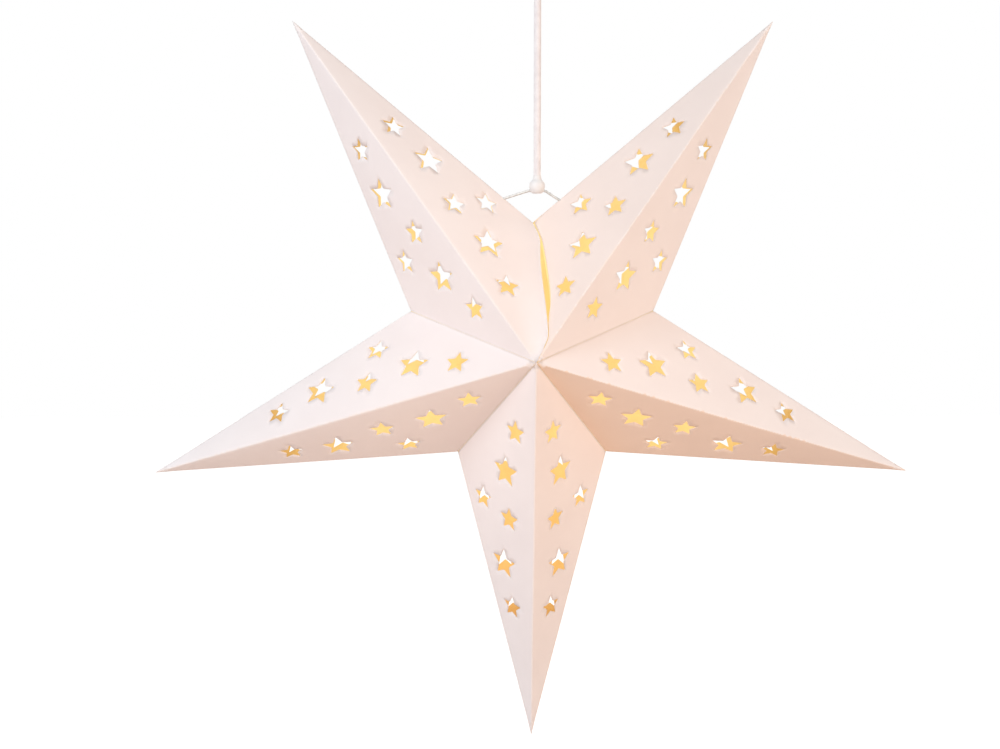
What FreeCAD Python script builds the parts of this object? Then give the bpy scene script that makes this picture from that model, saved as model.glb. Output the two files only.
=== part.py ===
import FreeCAD, Part
import math
import os

import Sketcher
from FreeCAD import Placement, Rotation, Vector

# A five-pointed folded-card star lantern on a cord, with a light string on a coin-cell box inside.
# Frame: +Z up, the star faces -Y, the origin is the centre of the eye that hangs on a ceiling hook.
# Each point of the star is one folded sheet, drawn in its own frame: X runs from the star's
# centre to the tip, Y from the front to the back, Z across the point. Millimetres and degrees.

doc = FreeCAD.newDocument("star_lantern")

# ---------------------------------------------------------------- driving dimensions

DIMENSIONS = {
    # the star
    "tip_radius": 316.5,
    "corner_radius": 101,
    "half_depth": 88,
    "card": 0.5,
    "tip_blunt": 1.2,
    "seam_half": 0.15,
    "flange_width": 8,
    "star_large": 13,
    "star_small": 9.8,
    "star_waist": 0.46,
    "centre_drop": 290,
    "centre_shift": -3.5,
    # the cord and its two moulded ends
    "cord_radius": 2.8,
    "cord_top": 16,
    "cord_length": 140,
    "eye_bore": 5,
    "eye_outer": 9,
    "eye_width": 7,
    "neck_radius": 3.4,
    "neck_end": 3.1,
    "bead_radius": 6.2,
    "bead_height": 11,
    "bead_neck": 3.4,
    "bead_shoulder": 3.8,
    "bead_belly": 7,
    "bead_end": 3.7,
    # the wire bail
    "wire_radius": 1.1,
    "wire_bend": 4,
    "bead_hole": 1.16,
    "bail_drop": 164.7,
    "bail_left": 6.8,
    "bail_right": 6.4,
    "foot_left": 29.5,
    "foot_right": 26.5,
    "foot_hole": 2.4,
    "foot_hook": 10,
    "foot_past": 1.5,
    "foot_under": 3.6,
    # the coin-cell box and its light string
    "box_drop": 405,
    "box_thick": 9,
    "box_wide": 24,
    "box_tall": 38,
    "box_corner": 3,
    "gland_radius": 1.6,
    "gland_tall": 2,
    "well_radius": 10.3,
    "well_floor": 3.3,
    "cell_drop": 5,
    "cell_radius": 10,
    "cell_thick": 3.2,
    "cell_gap": 0.02,
    "contact_thick": 0.3,
    "strip_wide": 5,
    "strip_tall": 15,
    "leaf_gap": 0.04,
    "leaf_short": 0.4,
    "cover_thick": 0.9,
    "cover_wide": 21.4,
    "cover_tall": 27,
    "cover_corner": 2,
    "rib_wide": 10,
    "rib_tall": 0.8,
    "rib_step": 2,
    "rib_drop": 6,
    "tongue_wide": 0.4,
    "tongue_thick": 0.4,
    "slide_gap": 0.1,
    "slot_wide": 2.5,
    "slot_deep": 3.2,
    "slot_height": 12.6,
    "slider_tall": 4.4,
    "slider_travel": 3,
    "knob_short": 1.6,
    "knob_stands": 1.2,
    "light_wire_radius": 0.65,
    "lamp_radius": 2,
    "lamp_half": 3.2,
    "lamp_chamfer": 1.2,
    "coil_radius": 7,
    "coil_start": 54,
    "coil_step": 12,
    "coil_end": 68,
}

sheet = doc.addObject("Spreadsheet::Sheet", "Sizes")
for row, (word, number) in enumerate(DIMENSIONS.items(), start=1):
    sheet.set(f"A{row}", word)
    sheet.set(f"B{row}", str(number))
    sheet.setAlias(f"B{row}", word)
doc.recompute()


def size(word):
    """The value of one driving dimension."""
    return float(sheet.get(word))


CENTRE = Vector(size("centre_shift"), 0, -size("centre_drop"))

# The five points, counter-clockwise as seen from the front, by the angle of their ridge.
POINT_ANGLES = {
    "point_upper_left": 126,
    "point_lower_left": 198,
    "point_bottom": 270,
    "point_lower_right": 342,
    "point_upper_right": 54,
}

# The six star cut-outs of a facet: the share of the ridge from the front apex to the tip,
# the distance out from the ridge, and the cut-out's size.
CUT_OUTS = [
    (0.192, 20.9, "star_small"),
    (0.302, 30.7, "star_large"),
    (0.397, 55.9, "star_small"),
    (0.423, 25.9, "star_small"),
    (0.548, 31.5, "star_large"),
    (0.659, 22.2, "star_small"),
]

# Which side of its point each foot of the bail goes in, and how far up the crease.
BAIL_FEET = {
    "point_upper_left": (-1, "foot_left"),
    "point_upper_right": (1, "foot_right"),
}

# The way of the light string's wire from the box to its coil, from the star's centre.
RISE = [(0, 0, -70), (-1, 13, -45), (1.5, 36, -24), (0, 58, -15), (-1, 74, -4), (0, 68, 8)]

LAMPS = 10

# The angle of the first turn of the coil and the turn from one lamp to the next.
FIRST_TURN = 30
LAMP_TURN = -90

# The flat sides that stand for a round wire, and the share of a run that a bend may take.
BAIL_SIDES = 8
STRING_SIDES = 6
BEND_SHARE = 0.45

# ---------------------------------------------------------------- helpers


def new_body(label, place=Placement()):
    """An empty body, which is exported under its label."""
    body = doc.addObject("PartDesign::Body", label)
    body.Label = label
    body.Placement = place
    return body


def plane_sketch(body, role, offset=Placement()):
    """A sketch on one of the body's own origin planes."""
    plane = next(p for p in body.Origin.OriginFeatures if p.Role == role)
    sketch = body.newObject("Sketcher::SketchObject", body.Name + "_sketch")
    sketch.AttachmentSupport = [(plane, "")]
    sketch.MapMode = "FlatFace"
    sketch.AttachmentOffset = offset
    return sketch


def outline(sketch, corners):
    """A closed outline of straight lines through the corners (x, y)."""
    points = [Vector(x, y, 0) for x, y in corners]
    for start, end in zip(points, points[1:] + points[:1]):
        sketch.addGeometry(Part.LineSegment(start, end), False)


def circle(sketch, word, x=0, y=0):
    """A circle whose radius is a driving dimension."""
    line = sketch.addGeometry(Part.Circle(Vector(x, y, 0), Vector(0, 0, 1), size(word)), False)
    name = f"{word}_{line}"
    rule = sketch.addConstraint(Sketcher.Constraint("Radius", line, size(word)))
    sketch.renameConstraint(rule, name)
    sketch.setExpression(f"Constraints.{name}", f"Sizes.{word}")


def extrude(kind, body, sketch, length, symmetric=False, backwards=False):
    """A Pad or Pocket of a sketch whose length is an expression of driving dimensions."""
    feature = body.newObject(f"PartDesign::{kind}", f"{body.Name}_{kind}")
    feature.Profile = sketch
    feature.SideType = "Symmetric" if symmetric else "One side"
    feature.Reversed = backwards
    feature.setExpression("Length", length)
    return feature


def revolve(body, sketch, axis_role):
    """A full turn of a sketch about one of the body's own origin axes."""
    axis = next(a for a in body.Origin.OriginFeatures if a.Role == axis_role)
    feature = body.newObject("PartDesign::Revolution", body.Name + "_turned")
    feature.Profile = sketch
    feature.ReferenceAxis = (axis, [""])
    feature.Angle = 360
    return feature


def bent_path(points, largest_bend=None):
    """A wire of straight runs through the points, joined by tangent arcs."""
    edges = []
    radii = []
    start = points[0]
    for before, corner, after in zip(points, points[1:], points[2:]):
        inward = (before - corner).normalize()
        onward = (after - corner).normalize()
        half_turn = (math.pi - inward.getAngle(onward)) / 2
        reach = BEND_SHARE * min((before - corner).Length, (after - corner).Length)
        if largest_bend:
            reach = min(reach, largest_bend * math.tan(half_turn))
        radius = reach / math.tan(half_turn)
        first = corner + inward * reach
        last = corner + onward * reach
        bisector = (inward + onward).normalize()
        middle = corner + bisector * (radius / math.cos(half_turn) - radius)
        edges.append(Part.LineSegment(start, first).toShape())
        edges.append(Part.Arc(first, middle, last).toShape())
        radii.append(radius)
        start = last
    edges.append(Part.LineSegment(start, points[-1]).toShape())
    return Part.Wire(edges), radii


def bent_rod(label, points, radius_word, sides, largest_bend=None):
    """A wire swept along a bent path, with a few flat sides for its round section."""
    path, radii = bent_path(points, largest_bend)
    spine = doc.addObject("Part::Feature", label + "_path")
    spine.Shape = path
    section = doc.addObject("Part::RegularPolygon", label + "_section")
    section.Polygon = sides
    section.setExpression("Circumradius", f"Sizes.{radius_word}")
    section.Placement = Placement(points[0], Rotation(Vector(0, 0, 1), points[1] - points[0]))
    rod = doc.addObject("Part::Sweep", label)
    rod.Label = label
    rod.Sections = [section]
    rod.Spine = (spine, [f"Edge{n + 1}" for n in range(len(path.Edges))])
    rod.Solid = True
    rod.Frenet = False
    doc.recompute()
    expected = sides / 2 * math.sin(2 * math.pi / sides) * size(radius_word) ** 2 * path.Length
    print(f"{label}: length {path.Length:.1f}, volume {rod.Shape.Volume:.1f} of {expected:.1f},"
          f" bend radii {min(radii):.1f} to {max(radii):.1f}")
    return rod


# ---------------------------------------------------------------- the star's folded points

# Half of a fifth of a turn lies between a point's ridge and the valley beside it.
HALF_SECTOR = math.radians(36)
CORNER_X = size("corner_radius") * math.cos(HALF_SECTOR)
CORNER_Z = size("corner_radius") * math.sin(HALF_SECTOR)

# The four facets of a point meet the plane across the star's centre in a rhombus, this wide
# to each side, and all four stand equally far from that centre.
SIDE_REACH = CORNER_Z * size("tip_radius") / (size("tip_radius") - CORNER_X)
FACET_DISTANCE = 1 / Vector(1 / size("tip_radius"), 1 / size("half_depth"), 1 / SIDE_REACH).Length

# The ridge's length and slope, and the angle at the ridge from the plane that halves the point.
RIDGE_LENGTH = math.hypot(size("tip_radius"), size("half_depth"))
RIDGE_SLOPE = math.degrees(math.atan2(size("half_depth"), size("tip_radius")))
RIDGE_OPENING = math.degrees(math.acos(FACET_DISTANCE / SIDE_REACH))

# The blocks and cuts of a point are drawn this much larger than the facets, to reach past them.
PAST = 1.4


def facet_plane(inset=0):
    """The plane of one front facet, with X down the ridge from the front apex, or one inside it."""
    lean = Rotation(Vector(0, 0, 1), RIDGE_SLOPE) * Rotation(Vector(1, 0, 0), RIDGE_OPENING)
    outer = Placement(Vector(0, -size("half_depth"), 0), lean)
    return outer * Placement(Vector(0, 0, -inset), Rotation())


def on_four_facets(body, feature):
    """Repeats a feature on the other three facets of its point."""
    repeat = body.newObject("PartDesign::MultiTransform", feature.Name + "_repeated")
    repeat.Originals = [feature]
    mirrors = []
    for role in ("XY_Plane", "XZ_Plane"):
        mirror = doc.addObject("PartDesign::Mirrored", f"{feature.Name}_{role}")
        mirror.MirrorPlane = (next(p for p in body.Origin.OriginFeatures if p.Role == role), [""])
        mirrors.append(mirror)
    repeat.Transformations = mirrors
    body.Tip = repeat


def pyramid(body, corners, inset=0):
    """A block over the corners, cut back to the point's four facets or to planes inside them."""
    block = plane_sketch(body, "XZ_Plane")
    outline(block, corners)
    extrude("Pad", body, block, "2 * Sizes.half_depth", symmetric=True)
    beyond = plane_sketch(body, "XY_Plane", facet_plane(inset))
    outline(beyond, [(-SIDE_REACH, -SIDE_REACH), (PAST * RIDGE_LENGTH, -SIDE_REACH),
                     (PAST * RIDGE_LENGTH, RIDGE_LENGTH), (-SIDE_REACH, RIDGE_LENGTH)])
    on_four_facets(body, extrude("Pocket", body, beyond, "3 * Sizes.half_depth", backwards=True))


def star_corners(along, across, radius):
    """A five-pointed star with one spike towards the front apex."""
    corners = []
    for k in range(10):
        reach = radius if k % 2 == 0 else radius * size("star_waist")
        turn = math.pi + k * math.pi / 5
        corners.append((along + reach * math.cos(turn), across + reach * math.sin(turn)))
    return corners


def flange(body, side):
    """The glue flange folded inwards along both valleys of one side of a point. It starts clear
    of the point on the other side, by the same gap as at the valleys."""
    width = size("flange_width")
    lean = 2 * HALF_SECTOR
    start = (size("seam_half") + (size("seam_half") + size("card")) * math.cos(lean)) / math.sin(lean)
    slope = math.atan2(size("half_depth"), size("corner_radius"))
    deep = size("half_depth") - width / math.cos(slope)
    far = size("corner_radius") - width / math.sin(slope)
    turn = Rotation(Vector(0, -1, 0), side * math.degrees(HALF_SECTOR))
    inwards = turn.multVec(Vector(0, 0, -side * size("seam_half")))
    sketch = plane_sketch(body, "XY_Plane", Placement(inwards, turn))
    outer_start = size("half_depth") - start * math.tan(slope)
    inner_start = deep - start * math.tan(slope)
    outline(sketch, [(start, -outer_start), (size("corner_radius"), 0), (start, outer_start),
                     (start, inner_start), (far, 0), (start, -inner_start)])
    extrude("Pad", body, sketch, "Sizes.card", backwards=(side > 0))


def star_point(label, angle, foot_side=0, foot_word=""):
    """One folded sheet: four facets, glue flanges at its valleys and twenty-four cut-outs."""
    body = new_body(label, Placement(CENTRE, Rotation(Vector(0, -1, 0), angle)))
    tip = size("tip_radius") - size("tip_blunt")
    start = size("seam_half") / math.sin(HALF_SECTOR)
    along = start + PAST * SIDE_REACH * math.cos(HALF_SECTOR)
    across = PAST * SIDE_REACH * math.sin(HALF_SECTOR)
    pyramid(body, [(start, 0), (along, across), (tip, across), (tip, -across), (along, -across)])

    hollow = new_body(label + "_hollow")
    behind = start - PAST
    pyramid(hollow, [(behind, -SIDE_REACH), (tip, -SIDE_REACH), (tip, SIDE_REACH), (behind, SIDE_REACH)],
            size("card"))
    emptied = body.newObject("PartDesign::Boolean", label + "_emptied")
    emptied.Type = "Cut"
    emptied.setObjects([hollow])
    for side in (1, -1):
        flange(body, side)

    if foot_side:
        # The bail's foot goes in through the crease beside the notch.
        crease = math.atan2(CORNER_Z, size("tip_radius") - CORNER_X)
        hole = plane_sketch(body, "XY_Plane")
        circle(hole, "foot_hole", CORNER_X + size(foot_word) * math.cos(crease))
        extrude("Pocket", body, hole, "Sizes.corner_radius", backwards=(foot_side > 0))

    stars = plane_sketch(body, "XY_Plane", facet_plane())
    for share, out, word in CUT_OUTS:
        outline(stars, star_corners(share * RIDGE_LENGTH, out, size(word)))
    on_four_facets(body, extrude("Pocket", body, stars, "6 * Sizes.card", symmetric=True))


for label, angle in POINT_ANGLES.items():
    foot_side, foot_word = BAIL_FEET.get(label, (0, ""))
    star_point(label, angle, foot_side, foot_word)

# ---------------------------------------------------------------- the cord and its two ends


def cord():
    """The straight round cord."""
    rod = doc.addObject("Part::Cylinder", "cord")
    rod.Label = "cord"
    rod.setExpression("Radius", "Sizes.cord_radius")
    rod.setExpression("Height", "Sizes.cord_length")
    rod.Placement = Placement(Vector(0, 0, -size("cord_top") - size("cord_length")), Rotation())


def cord_eye():
    """A moulded eye whose neck tapers down to the cord."""
    body = new_body("cord_eye")
    neck = plane_sketch(body, "XZ_Plane")
    top = -(size("eye_bore") + size("eye_outer")) / 2
    bottom = -size("cord_top")
    outline(neck, [(0, top), (size("neck_radius"), top), (size("neck_end"), bottom), (0, bottom)])
    revolve(body, neck, "Z_Axis")
    ring = plane_sketch(body, "XZ_Plane")
    circle(ring, "eye_outer")
    extrude("Pad", body, ring, "Sizes.eye_width", symmetric=True)
    bore = plane_sketch(body, "XZ_Plane")
    circle(bore, "eye_bore")
    extrude("Pocket", body, bore, "2 * Sizes.eye_width", symmetric=True)


def cord_bead():
    """The moulded end that the cord runs into, with a cross hole for the bail."""
    body = new_body("cord_bead")
    top = -size("cord_top") - size("cord_length")
    bottom = top - size("bead_height")
    radius = size("bead_radius")
    profile = plane_sketch(body, "XZ_Plane")
    outline(profile, [(0, top), (size("bead_neck"), top), (radius, top - size("bead_shoulder")),
                      (radius, top - size("bead_belly")), (size("bead_end"), bottom), (0, bottom)])
    revolve(body, profile, "Z_Axis")
    hole = plane_sketch(body, "YZ_Plane")
    circle(hole, "bead_hole", 0, -size("bail_drop"))
    extrude("Pocket", body, hole, "4 * Sizes.bead_radius", symmetric=True)


cord()
cord_eye()
cord_bead()

# ---------------------------------------------------------------- the wire bail


def crease_place(side, along):
    """A place under the crease beside the notch: so far up the crease from the corner."""
    rise = math.atan2(size("tip_radius") * math.sin(HALF_SECTOR),
                      size("tip_radius") * math.cos(HALF_SECTOR) - size("corner_radius"))
    up = Vector(side * math.sin(rise), 0, math.cos(rise))
    under = Vector(side * math.cos(rise), 0, -math.sin(rise))
    corner = CENTRE + Vector(0, 0, size("corner_radius"))
    return corner + up * along + under * size("foot_under")


def bail():
    """A wire that runs through the bead and hooks under a crease on each side of the notch."""
    level = -size("bail_drop")
    points = [
        crease_place(-1, size("foot_left") + size("foot_hook")),
        crease_place(-1, size("foot_left") + size("foot_past")),
        Vector(-size("bail_left"), 0, level),
        Vector(size("bail_right"), 0, level),
        crease_place(1, size("foot_right") + size("foot_past")),
        crease_place(1, size("foot_right") + size("foot_hook")),
    ]
    bent_rod("bail", points, "wire_radius", BAIL_SIDES, size("wire_bend"))


bail()

# ---------------------------------------------------------------- the coin-cell box

BOX = Vector(CENTRE.x, 0, -size("box_drop"))
BOX_FACE = size("box_thick") / 2
COVER_SEAT = BOX_FACE - size("cover_thick") - size("slide_gap") / 2
COVER_MIDDLE = (size("cover_tall") - size("box_tall")) / 2
WELL_FLOOR = -size("well_floor")
INNER_CELL = WELL_FLOOR + size("contact_thick")
OUTER_CELL = INNER_CELL + size("cell_thick") + size("cell_gap")

# The leaf contact lies along this much of the well's upper edge.
LEAF_SPAN = (math.radians(50), math.radians(130))


def rectangle(sketch, wide, tall, middle=0):
    """A rectangle centred at (0, middle)."""
    x = wide / 2
    low = middle - tall / 2
    high = middle + tall / 2
    outline(sketch, [(-x, low), (x, low), (x, high), (-x, high)])


def rounded_rectangle(sketch, wide, tall, corner, middle=0):
    """A rectangle with round corners, centred at (0, middle)."""
    x = wide / 2 - corner
    y = tall / 2 - corner
    ends = []
    for quarter, (cx, cy) in enumerate([(x, y), (-x, y), (-x, -y), (x, -y)]):
        round_off = Part.ArcOfCircle(Part.Circle(Vector(cx, cy + middle, 0), Vector(0, 0, 1), corner),
                                     quarter * math.pi / 2, (quarter + 1) * math.pi / 2)
        sketch.addGeometry(round_off, False)
        ends.append((round_off.StartPoint, round_off.EndPoint))
    for (_, start), (end, _) in zip(ends, ends[1:] + ends[:1]):
        sketch.addGeometry(Part.LineSegment(start, end), False)


def face_sketch(body, stands):
    """A sketch parallel to the box's flat faces, at the height it stands above the middle."""
    return plane_sketch(body, "YZ_Plane", Placement(Vector(0, 0, stands), Rotation()))


def battery_box():
    """A flat moulded box with a cell well, a slot for its cover, a switch slot and a gland."""
    body = new_body("battery_box", Placement(BOX, Rotation()))
    shell = face_sketch(body, 0)
    rounded_rectangle(shell, size("box_wide"), size("box_tall"), size("box_corner"))
    extrude("Pad", body, shell, "Sizes.box_thick", symmetric=True)

    gap = size("slide_gap")
    seat = face_sketch(body, BOX_FACE)
    rounded_rectangle(seat, size("cover_wide") + gap, 2 * size("cover_tall") + gap,
                      size("cover_corner"), COVER_MIDDLE - size("cover_tall") / 2)
    extrude("Pocket", body, seat, "Sizes.cover_thick + Sizes.slide_gap / 2")

    groove = face_sketch(body, COVER_SEAT)
    rectangle(groove, size("cover_wide") + 2 * size("tongue_wide") + gap,
              2 * size("cover_tall") + gap, COVER_MIDDLE - size("cover_tall") / 2)
    extrude("Pocket", body, groove, "Sizes.tongue_thick + Sizes.slide_gap", backwards=True)

    well = face_sketch(body, COVER_SEAT)
    circle(well, "well_radius", 0, -size("cell_drop"))
    extrude("Pocket", body, well,
            "Sizes.box_thick / 2 - Sizes.cover_thick - Sizes.slide_gap / 2 + Sizes.well_floor")

    slot = plane_sketch(body, "XZ_Plane", Placement(Vector(0, 0, size("box_wide") / 2), Rotation()))
    rectangle(slot, size("slot_wide"), size("slider_tall") + size("slider_travel") + 2 * gap,
              size("slot_height"))
    extrude("Pocket", body, slot, "Sizes.slot_deep")

    gland = plane_sketch(body, "XY_Plane", Placement(Vector(0, 0, size("box_tall") / 2), Rotation()))
    circle(gland, "gland_radius")
    extrude("Pad", body, gland, "Sizes.gland_tall")


def battery_cover():
    """The sliding cover: a plate with a tongue along each side and three grip ribs."""
    body = new_body("battery_cover", Placement(BOX, Rotation()))
    plate = face_sketch(body, COVER_SEAT + size("slide_gap") / 4)
    rounded_rectangle(plate, size("cover_wide"), size("cover_tall"), size("cover_corner"), COVER_MIDDLE)
    extrude("Pad", body, plate, "Sizes.cover_thick - Sizes.slide_gap / 2")
    tongues = face_sketch(body, COVER_SEAT + size("slide_gap") / 4)
    rectangle(tongues, size("cover_wide") + 2 * size("tongue_wide"),
              size("cover_tall") - 2 * size("cover_corner"), COVER_MIDDLE)
    extrude("Pad", body, tongues, "Sizes.tongue_thick")
    for rib in range(3):
        ridge = face_sketch(body, BOX_FACE - size("slide_gap"))
        rectangle(ridge, size("rib_wide"), size("rib_tall"),
                  COVER_MIDDLE - size("rib_drop") + (rib - 1) * size("rib_step"))
        extrude("Pad", body, ridge, "Sizes.contact_thick")


def switch_slider():
    """The slider of the switch, standing a little out of its slot, at its upper end: on."""
    body = new_body("switch_slider", Placement(BOX, Rotation()))
    gap = size("slide_gap")
    middle = size("slot_height") + size("slider_travel") / 2
    slide = plane_sketch(body, "XZ_Plane",
                         Placement(Vector(0, 0, size("box_wide") / 2 - size("slot_deep") + gap), Rotation()))
    rectangle(slide, size("slot_wide") - 2 * gap, size("slider_tall"), middle)
    extrude("Pad", body, slide, "Sizes.slot_deep - 2 * Sizes.slide_gap")
    knob = plane_sketch(body, "XZ_Plane",
                        Placement(Vector(0, 0, size("box_wide") / 2 - 2 * gap), Rotation()))
    rectangle(knob, size("slot_wide") - 4 * gap, size("slider_tall") - size("knob_short"), middle)
    extrude("Pad", body, knob, "Sizes.knob_stands + 2 * Sizes.slide_gap")


def coin_cell(label, floor):
    """A coin cell, lying flat in the well."""
    body = new_body(label, Placement(BOX, Rotation()))
    can = face_sketch(body, floor)
    circle(can, "cell_radius", 0, -size("cell_drop"))
    extrude("Pad", body, can, "Sizes.cell_thick")


def contacts():
    """A spring strip under the cap of the inner cell, and a leaf beside the can of the outer one."""
    strip = new_body("contact_negative", Placement(BOX, Rotation()))
    tongue = face_sketch(strip, WELL_FLOOR)
    rectangle(tongue, size("strip_wide"), size("strip_tall"), -size("cell_drop"))
    extrude("Pad", strip, tongue, "Sizes.contact_thick")

    leaf = new_body("contact_positive", Placement(BOX, Rotation()))
    curve = face_sketch(leaf, OUTER_CELL + size("leaf_short"))
    middle = Vector(0, -size("cell_drop"), 0)
    inner = size("cell_radius") + size("leaf_gap")
    outer = size("well_radius") - size("leaf_gap")
    arcs = [Part.ArcOfCircle(Part.Circle(middle, Vector(0, 0, 1), r), *LEAF_SPAN) for r in (inner, outer)]
    for arc in arcs:
        curve.addGeometry(arc, False)
    curve.addGeometry(Part.LineSegment(arcs[0].StartPoint, arcs[1].StartPoint), False)
    curve.addGeometry(Part.LineSegment(arcs[0].EndPoint, arcs[1].EndPoint), False)
    extrude("Pad", leaf, curve, "Sizes.cell_thick - 2 * Sizes.leaf_short")


battery_box()
battery_cover()
switch_slider()
coin_cell("cell_inner", INNER_CELL)
coin_cell("cell_outer", OUTER_CELL)
contacts()

# ---------------------------------------------------------------- the light string


def light_string():
    """The stiff copper wire: up from the box, round behind the centre, and in a coil to the front."""
    gland_top = size("box_tall") / 2 + size("gland_tall") - size("box_drop") + size("centre_drop")
    way = [Vector(0, 0, gland_top)] + [Vector(*place) for place in RISE]
    for n in range(LAMPS):
        turn = math.radians(FIRST_TURN + LAMP_TURN * n)
        way.append(Vector(size("coil_radius") * math.cos(turn),
                          size("coil_start") - n * size("coil_step"),
                          size("coil_radius") * math.sin(turn)))
    way.append(Vector(0, -size("coil_end"), 0))
    points = [CENTRE + place for place in way]
    bent_rod("light_wire", points, "light_wire_radius", STRING_SIDES)
    return points[-LAMPS - 1:]


def lamp(number, start, end):
    """One lamp: a clear drop moulded round the wire, halfway along a run of the coil."""
    along = Rotation(Vector(0, 0, 1), end - start)
    body = new_body(f"lamp_{number:02d}", Placement((start + end) / 2, along))
    drop = plane_sketch(body, "XY_Plane")
    radius = size("lamp_radius")
    outline(drop, [(radius * math.cos(k * math.pi / 4), radius * math.sin(k * math.pi / 4))
                   for k in range(8)])
    length = extrude("Pad", body, drop, "2 * Sizes.lamp_half", symmetric=True)
    doc.recompute()
    ends = [f"Face{n}" for n, face in enumerate(length.Shape.Faces, start=1)
            if abs(face.normalAt(0, 0).z) > 0.9]
    rounded = body.newObject("PartDesign::Chamfer", body.Name + "_rounded")
    rounded.Base = (length, ends)
    rounded.setExpression("Size", "Sizes.lamp_chamfer")


coil_points = light_string()
for number, (start, end) in enumerate(zip(coil_points, coil_points[1:]), start=1):
    lamp(number, start, end)

# ---------------------------------------------------------------- checks and files

doc.recompute()

broken = [o.Name for o in doc.Objects if "Invalid" in o.State or "Error" in o.State]
if broken:
    raise SystemExit(f"failed objects: {broken}")

pieces = [o for o in doc.Objects
          if o.TypeId in ("PartDesign::Body", "Part::Sweep", "Part::Cylinder")
          and not o.Label.endswith("_hollow")]
for piece in pieces:
    if piece.Shape.isNull() or not piece.Shape.isValid() or len(piece.Shape.Solids) != 1:
        raise SystemExit(f"{piece.Label} is not one valid solid")

os.makedirs("parts", exist_ok=True)
for piece in pieces:
    piece.Shape.exportStep(f"parts/{piece.Label}.step")
    print(f"{piece.Label:20s} {piece.Shape.Volume:10.1f} mm3")
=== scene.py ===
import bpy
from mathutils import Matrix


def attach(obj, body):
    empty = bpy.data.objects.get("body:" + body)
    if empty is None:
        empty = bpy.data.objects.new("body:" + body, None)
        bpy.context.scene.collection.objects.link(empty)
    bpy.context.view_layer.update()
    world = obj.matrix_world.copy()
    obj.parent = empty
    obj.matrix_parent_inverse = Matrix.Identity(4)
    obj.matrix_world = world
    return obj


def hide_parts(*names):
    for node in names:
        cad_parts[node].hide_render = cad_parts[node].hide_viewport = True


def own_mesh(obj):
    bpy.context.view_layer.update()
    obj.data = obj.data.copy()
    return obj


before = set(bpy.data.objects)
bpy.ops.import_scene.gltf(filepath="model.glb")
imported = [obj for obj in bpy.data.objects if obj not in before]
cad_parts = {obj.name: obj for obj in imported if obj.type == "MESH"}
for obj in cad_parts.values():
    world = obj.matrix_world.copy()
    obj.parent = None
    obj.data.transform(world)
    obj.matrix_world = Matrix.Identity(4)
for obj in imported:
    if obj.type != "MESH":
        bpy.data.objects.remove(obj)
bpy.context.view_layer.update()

import math

import bmesh
import bpy
import numpy as np
from mathutils import Vector
from mathutils.geometry import delaunay_2d_cdt

# A folded-card star lantern with a light string inside, hung by a wire bail on a cord.
# Metres in the frame: +Z up, the star faces -Y, the origin is the centre of the cord's eye.

# ================================================================ the camera
# The camera stands a good metre in front of the star, a little above its middle. It aims
# slightly down, at a point just left of the star's middle.

LOOKED_AT = Vector((-0.0290, 0.0, -0.3094))
STANDS_OFF = 1.214
LOOKS_DOWN = math.radians(6.95)
LOOKS_ASIDE = math.radians(0.79)
SENSOR_WIDE = 36
LENS = 55.1

look = Vector((math.sin(LOOKS_ASIDE) * math.cos(LOOKS_DOWN),
               math.cos(LOOKS_ASIDE) * math.cos(LOOKS_DOWN), -math.sin(LOOKS_DOWN)))
camera = bpy.data.objects.new("camera", bpy.data.cameras.new("camera"))
camera.data.sensor_width = SENSOR_WIDE
camera.data.lens = LENS
camera.location = LOOKED_AT - look * STANDS_OFF
camera.rotation_euler = look.to_track_quat("-Z", "Y").to_euler()
bpy.context.scene.collection.objects.link(camera)
bpy.context.scene.camera = camera

# ================================================================ the cord
# A round white cord with a fine braided sleeve, pulled straight by the lantern's weight. Its
# lower end is moulded into the bead and its upper end into the eye.

CORD_RADIUS = 0.0028
CORD_ROUTE = [(0, 0, -0.156), (0, 0, -0.121), (0, 0, -0.086), (0, 0, -0.051), (0, 0, -0.016)]
BRAID_STRANDS = 12
BRAID_RELIEF = 0.00009
BRAID_STEP = 0.00035
MM = 0.001


def new_piece(name, points, faces, smooth=True):
    """An object at the origin whose mesh has these points and faces."""
    mesh = bpy.data.meshes.new(name)
    mesh.from_pydata(np.asarray(points, float).tolist(), [], [list(map(int, f)) for f in faces])
    mesh.polygons.foreach_set("use_smooth", np.full(len(mesh.polygons), smooth))
    mesh.update()
    piece = bpy.data.objects.new(name, mesh)
    bpy.context.scene.collection.objects.link(piece)
    return piece


def grid_faces(rows, columns, closed=True, caps=True):
    """Quads between neighbours of a grid of rows by columns, whose rows close on themselves,
    and a fan face over the first and the last row."""
    row, column = np.meshgrid(np.arange(rows - 1), np.arange(columns if closed else columns - 1),
                              indexing="ij")
    after = (column + 1) % columns
    quads = np.stack([row * columns + column, row * columns + after,
                      (row + 1) * columns + after, (row + 1) * columns + column], axis=-1)
    faces = [tuple(quad) for quad in quads.reshape(-1, 4)]
    if closed and caps:
        faces.append(tuple(range(columns))[::-1])
        faces.append(tuple(range((rows - 1) * columns, rows * columns)))
    return faces


def route_line(name, route):
    """The points of a smooth NURBS line with the route's points as its control points."""
    curve = bpy.data.curves.new(name, "CURVE")
    curve.dimensions = "3D"
    curve.resolution_u = 16
    spline = curve.splines.new("NURBS")
    spline.points.add(len(route) - 1)
    spline.points.foreach_set("co", np.c_[np.array(route, float), np.ones(len(route))].ravel())
    spline.order_u = 3
    spline.use_endpoint_u = True
    holder = bpy.data.objects.new(name, curve)
    mesh = bpy.data.meshes.new_from_object(holder)
    line = np.array([v.co for v in mesh.vertices], float)
    bpy.data.objects.remove(holder)
    bpy.data.meshes.remove(mesh)
    return line


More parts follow.
